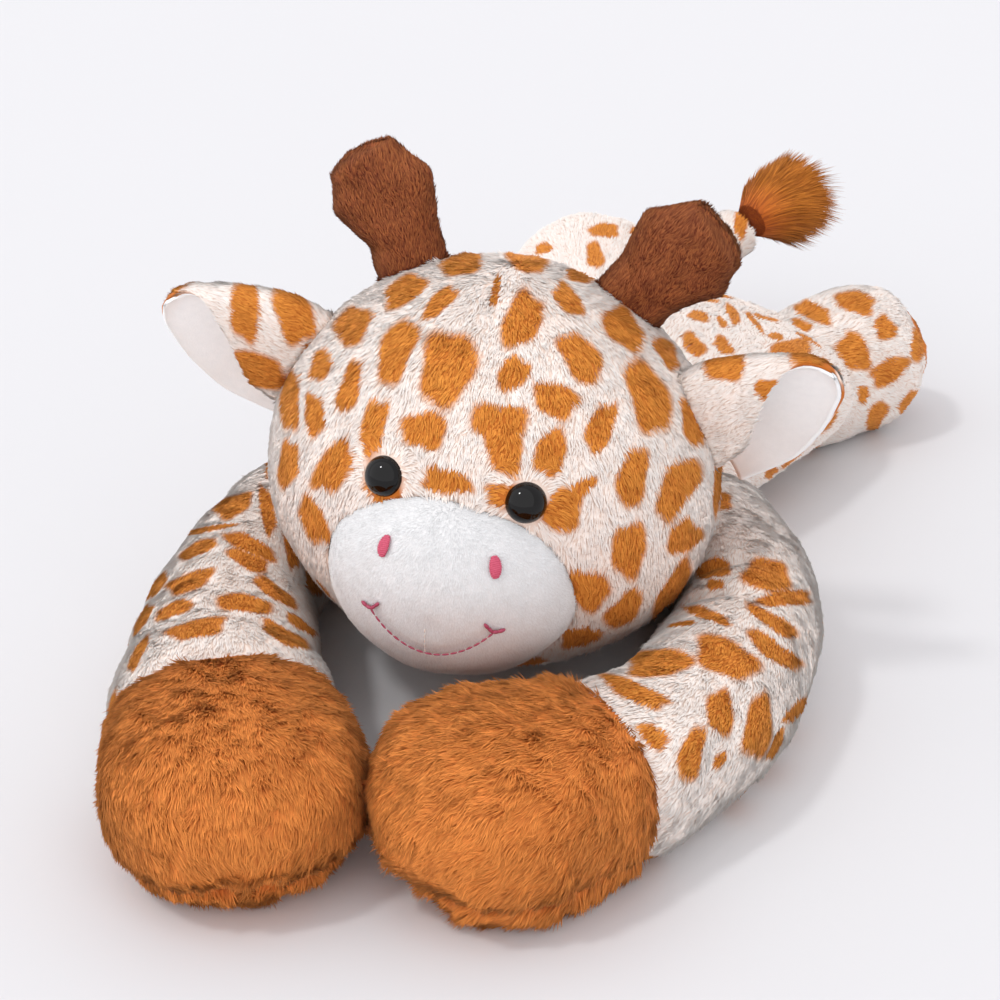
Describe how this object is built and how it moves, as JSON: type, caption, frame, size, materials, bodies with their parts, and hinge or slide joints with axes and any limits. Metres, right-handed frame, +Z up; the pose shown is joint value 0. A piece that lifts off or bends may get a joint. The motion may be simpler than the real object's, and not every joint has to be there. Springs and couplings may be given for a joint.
{
  "type": "weighted stuffed animal",
  "caption": "Weighted plush giraffe lying on its belly: stuffed body, head, legs and tail in spotted pile cloth, with horns, ears and bead pouches inside.",
  "frame": {"origin": "middle of the flat pressed under the belly, on the surface that the toy lies on", "axes": "+Z up, -Y towards the face, +X towards the toy's own left"},
  "size_m": [0.2811, 0.6085, 0.2232],
  "materials": {
    "spotted_plush": "matte",
    "brown_plush": "matte",
    "horn_plush": "matte",
    "white_velboa": "matte",
    "tuft_pile": "matte",
    "black_plastic": "gloss",
    "washer_plastic": "matte",
    "rose_thread": "satin",
    "pale_thread": "matte",
    "stuffing": "matte",
    "pouch_cotton": "matte",
    "glass_beads": "gloss"
  },
  "bodies": {
    "torso": {"body_cover": "spotted_plush", "body_bead_pouch": "pouch_cotton", "body_beads": "glass_beads", "body_filling": "stuffing"},
    "neck": {"neck_cover": "spotted_plush", "neck_filling": "stuffing", "neck_seam": "pale_thread"},
    "head": {"left_eye": "black_plastic", "left_eye_washer": "washer_plastic", "right_eye": "black_plastic", "right_eye_washer": "washer_plastic", "head_cover": "spotted_plush", "muzzle_cover": "white_velboa", "head_filling": "stuffing", "left_nostril": "rose_thread", "right_nostril": "rose_thread", "mouth": "rose_thread", "left_horn_cover": "horn_plush", "left_horn_filling": "stuffing", "right_horn_cover": "horn_plush", "right_horn_filling": "stuffing"},
    "left_ear": {"left_ear_outer": "spotted_plush", "left_ear_lining": "white_velboa"},
    "right_ear": {"right_ear_outer": "spotted_plush", "right_ear_lining": "white_velboa"},
    "left_foreleg": {"left_foreleg_cover": "spotted_plush", "left_hoof_top": "brown_plush", "left_hoof_sole": "brown_plush", "left_hoof_pouch": "pouch_cotton", "left_hoof_beads": "glass_beads", "left_foreleg_filling": "stuffing"},
    "right_foreleg": {"right_foreleg_cover": "spotted_plush", "right_hoof_top": "brown_plush", "right_hoof_sole": "brown_plush", "right_hoof_pouch": "pouch_cotton", "right_hoof_beads": "glass_beads", "right_foreleg_filling": "stuffing"},
    "left_hind_leg": {"left_hind_leg_cover": "spotted_plush", "left_hind_pad": "brown_plush", "left_foot_pouch": "pouch_cotton", "left_foot_beads": "glass_beads", "left_hind_leg_filling": "stuffing"},
    "right_hind_leg": {"right_hind_leg_cover": "spotted_plush", "right_hind_pad": "brown_plush", "right_foot_pouch": "pouch_cotton", "right_foot_beads": "glass_beads", "right_hind_leg_filling": "stuffing"},
    "tail": {"tail_cover": "spotted_plush", "tail_filling": "stuffing", "tail_tuft": "tuft_pile"}
  },
  "joints": [
    {"name": "head_turn", "type": "hinge", "parent": "torso", "child": "neck", "pos_m": [0, -0.175, 0.1], "axis": [0, 0, 1], "range_deg": [-20, 5]},
    {"name": "head_nod", "type": "hinge", "parent": "neck", "child": "head", "pos_m": [0, -0.175, 0.1], "axis": [0.9811, 0.173, -0.0872], "range_deg": [-20, 3]},
    {"name": "left_ear_flap", "type": "hinge", "parent": "head", "child": "left_ear", "pos_m": [0.08102, -0.13878, 0.1208], "axis": [-0.1247, -0.2695, 0.9549], "range_deg": [0, 12], "stiffness_Nm_per_rad": 0.1},
    {"name": "right_ear_flap", "type": "hinge", "parent": "head", "child": "right_ear", "pos_m": [-0.08588, -0.16829, 0.13122], "axis": [-0.3155, 0.2367, -0.9189], "range_deg": [0, 12], "stiffness_Nm_per_rad": 0.1},
    {"name": "left_foreleg_swing", "type": "hinge", "parent": "torso", "child": "left_foreleg", "pos_m": [0.066, -0.086, 0.0305], "axis": [0, 0, 1], "range_deg": [0, 35]},
    {"name": "right_foreleg_swing", "type": "hinge", "parent": "torso", "child": "right_foreleg", "pos_m": [-0.066, -0.086, 0.0305], "axis": [0, 0, -1], "range_deg": [0, 35]},
    {"name": "left_hind_leg_swing", "type": "hinge", "parent": "torso", "child": "left_hind_leg", "pos_m": [0.052, 0.08, 0.0335], "axis": [0, 0, -1], "range_deg": [0, 15]},
    {"name": "right_hind_leg_swing", "type": "hinge", "parent": "torso", "child": "right_hind_leg", "pos_m": [-0.052, 0.08, 0.0335], "axis": [0, 0, 1], "range_deg": [0, 15]},
    {"name": "tail_swing", "type": "hinge", "parent": "torso", "child": "tail", "pos_m": [-0.014, 0.106, 0.057], "axis": [0, 0, 1], "range_deg": [-15, 15], "stiffness_Nm_per_rad": 0.1}
  ]
}
